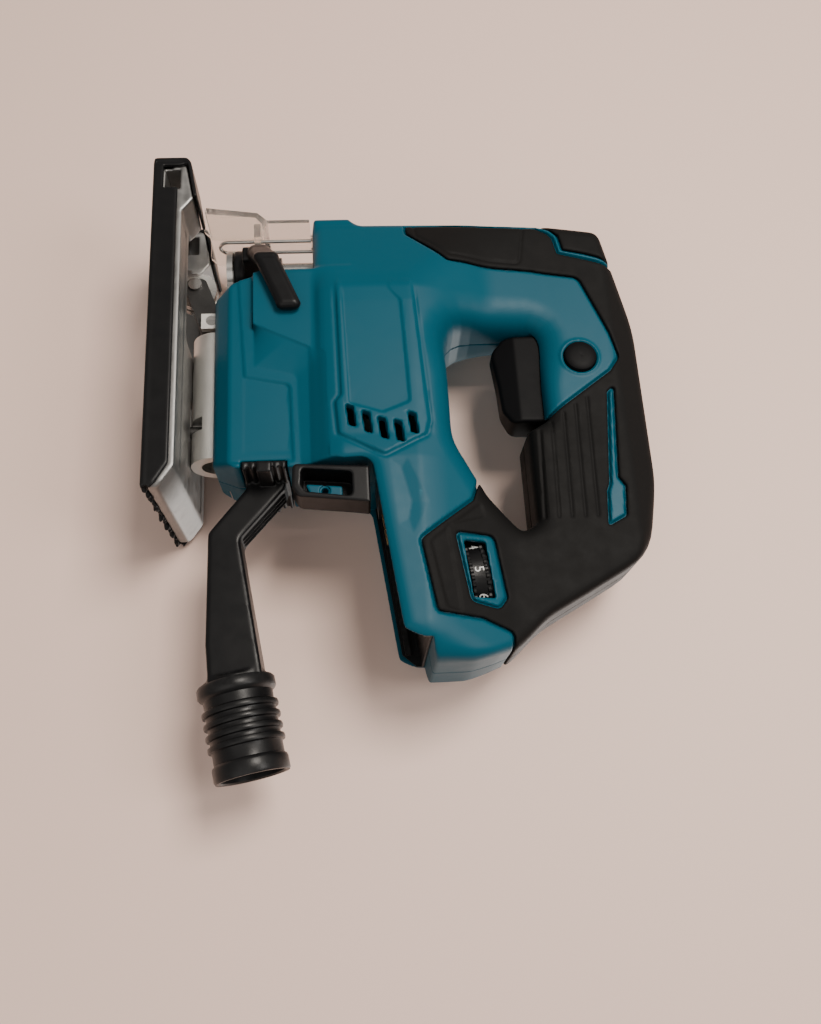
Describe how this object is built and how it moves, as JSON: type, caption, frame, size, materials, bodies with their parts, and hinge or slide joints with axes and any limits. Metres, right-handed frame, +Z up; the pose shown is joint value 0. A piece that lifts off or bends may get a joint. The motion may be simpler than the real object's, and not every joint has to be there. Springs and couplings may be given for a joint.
{
  "type": "cordless jigsaw",
  "caption": "D-handle cordless jigsaw body for a slide-on battery, with tilting aluminium shoe, clear dust guard, tool-less blade clamp, speed dial and rear dust outlet.",
  "frame": {"origin": "where the plunger's axis crosses the sole of the shoe", "axes": "+Z up out of the work, -Y the cutting direction, +X the operator's left, the blade lever's side"},
  "size_m": [0.076, 0.2646, 0.2115],
  "materials": {
    "teal_plastic": "satin, fine moulded grain",
    "grip_rubber": "soft matte overmould",
    "black_plastic": "satin black, fine grain",
    "clear_plastic": "clear, polished",
    "cast_aluminium": "bright die cast, brushed on its top",
    "gear_case_aluminium": "as cast",
    "hardened_steel": "ground",
    "blackened_steel": "black oxide",
    "bronze": "sintered, oiled",
    "laminations": "stacked, varnished",
    "contact_brass": "plated",
    "board_resin": "potted",
    "trigger_plastic": "satin"
  },
  "bodies": {
    "housing": {"housing_left": "teal_plastic", "housing_right": "teal_plastic", "grip_left": "grip_rubber", "grip_right": "grip_rubber", "housing_screws": "blackened_steel", "gear_housing": "gear_case_aluminium", "plunger_bushes": "bronze", "gear_axle": "hardened_steel", "motor_stator": "laminations", "motor_bearings": "hardened_steel", "holder_pin": "hardened_steel", "lever_bracket": "hardened_steel", "wire_guard": "hardened_steel", "light_lens": "clear_plastic", "switch_unit": "black_plastic", "control_board": "board_resin", "bay_liner": "black_plastic", "terminal_block": "black_plastic", "terminal_blades": "contact_brass", "wrench_holder": "black_plastic", "rear_post": "teal_plastic", "dust_nozzle": "black_plastic", "rubber_cuff": "grip_rubber"},
    "plunger": {"plunger": "hardened_steel"},
    "blade_clamp": {"clamp_sleeve": "blackened_steel"},
    "drive_gear": {"drive_gear": "hardened_steel"},
    "rotor": {"motor_rotor": "laminations", "motor_shaft": "hardened_steel", "pinion": "hardened_steel", "cooling_fan": "black_plastic"},
    "counterweight": {"counterweight": "blackened_steel"},
    "roller_arm": {"roller_holder": "blackened_steel", "roller_pin": "hardened_steel"},
    "roller": {"guide_roller": "hardened_steel"},
    "blade_lever": {"blade_lever": "black_plastic"},
    "dust_guard": {"dust_guard": "clear_plastic"},
    "trigger": {"trigger": "trigger_plastic"},
    "lock_button": {"lock_button": "black_plastic"},
    "speed_dial": {"speed_dial": "black_plastic"},
    "orbital_lever": {"orbital_lever": "black_plastic"},
    "bevel_clamp": {"bevel_nut": "hardened_steel", "clamp_bolt": "blackened_steel", "clamp_plate": "hardened_steel"},
    "shoe": {"shoe": "cast_aluminium", "cover_plate": "black_plastic"}
  },
  "joints": [
    {"name": "gear_spin", "type": "hinge", "parent": "housing", "child": "drive_gear", "pos_m": [0, 0.0245, 0.094], "axis": [0, 1, 0], "continuous": true},
    {"name": "rotor_spin", "type": "hinge", "parent": "housing", "child": "rotor", "pos_m": [0, 0.063, 0.068], "axis": [0, 1, 0], "continuous": true},
    {"name": "plunger_slide", "type": "slide", "parent": "housing", "child": "plunger", "axis": [0, 0, 1], "range_m": [-0.013, 0.013]},
    {"name": "counterweight_slide", "type": "slide", "parent": "housing", "child": "counterweight", "axis": [0, 0, 1], "range_m": [-0.0041, 0.0041]},
    {"name": "blade_lever_swing", "type": "hinge", "parent": "housing", "child": "blade_lever", "pos_m": [0, 0, 0.038], "axis": [0, 0, 1], "range_deg": [-40, 0], "stiffness_Nm_per_rad": 0.02, "springref_deg": 17.19},
    {"name": "clamp_turn", "type": "hinge", "parent": "plunger", "child": "blade_clamp", "pos_m": [0, 0, 0.044], "axis": [0, 0, 1], "range_deg": [-41, 1]},
    {"name": "roller_arm_swing", "type": "hinge", "parent": "housing", "child": "roller_arm", "pos_m": [0, 0.031, 0.022], "axis": [1, 0, 0], "range_deg": [-2.5, 2.5]},
    {"name": "roller_spin", "type": "hinge", "parent": "roller_arm", "child": "roller", "pos_m": [0, 0.0105, 0.014], "axis": [1, 0, 0], "continuous": true},
    {"name": "guard_slide", "type": "slide", "parent": "housing", "child": "dust_guard", "axis": [0, 0, 1], "range_m": [0, 0.02]},
    {"name": "trigger_press", "type": "slide", "parent": "housing", "child": "trigger", "axis": [0, 0, 1], "range_m": [0, 0.005], "stiffness_N_per_m": 900, "springref_m": -0.003},
    {"name": "lock_button_push", "type": "slide", "parent": "housing", "child": "lock_button", "axis": [-1, 0, 0], "range_m": [0, 0.0035], "stiffness_N_per_m": 700, "springref_m": -0.002},
    {"name": "dial_turn", "type": "hinge", "parent": "housing", "child": "speed_dial", "pos_m": [0.009, 0.154, 0.1298], "axis": [0, -0.1305, 0.9914], "range_deg": [-200, 50]},
    {"name": "orbital_turn", "type": "hinge", "parent": "housing", "child": "orbital_lever", "pos_m": [-0.031, 0.066, 0.051], "axis": [-1, 0, 0], "range_deg": [0, 90]},
    {"name": "bevel_tilt", "type": "hinge", "parent": "housing", "child": "bevel_clamp", "pos_m": [0, 0.08, 0.024], "axis": [0, 1, 0], "range_deg": [-45, 45]},
    {"name": "shoe_slide", "type": "slide", "parent": "bevel_clamp", "child": "shoe", "axis": [0, 1, 0], "range_m": [0, 0.01]}
  ],
  "couplings": [
    {"joint": "rotor_spin", "follows": "gear_spin", "ratio": -5.5},
    {"joint": "counterweight_slide", "follows": "plunger_slide", "ratio": -0.30769},
    {"joint": "clamp_turn", "follows": "blade_lever_swing", "ratio": 1}
  ]
}
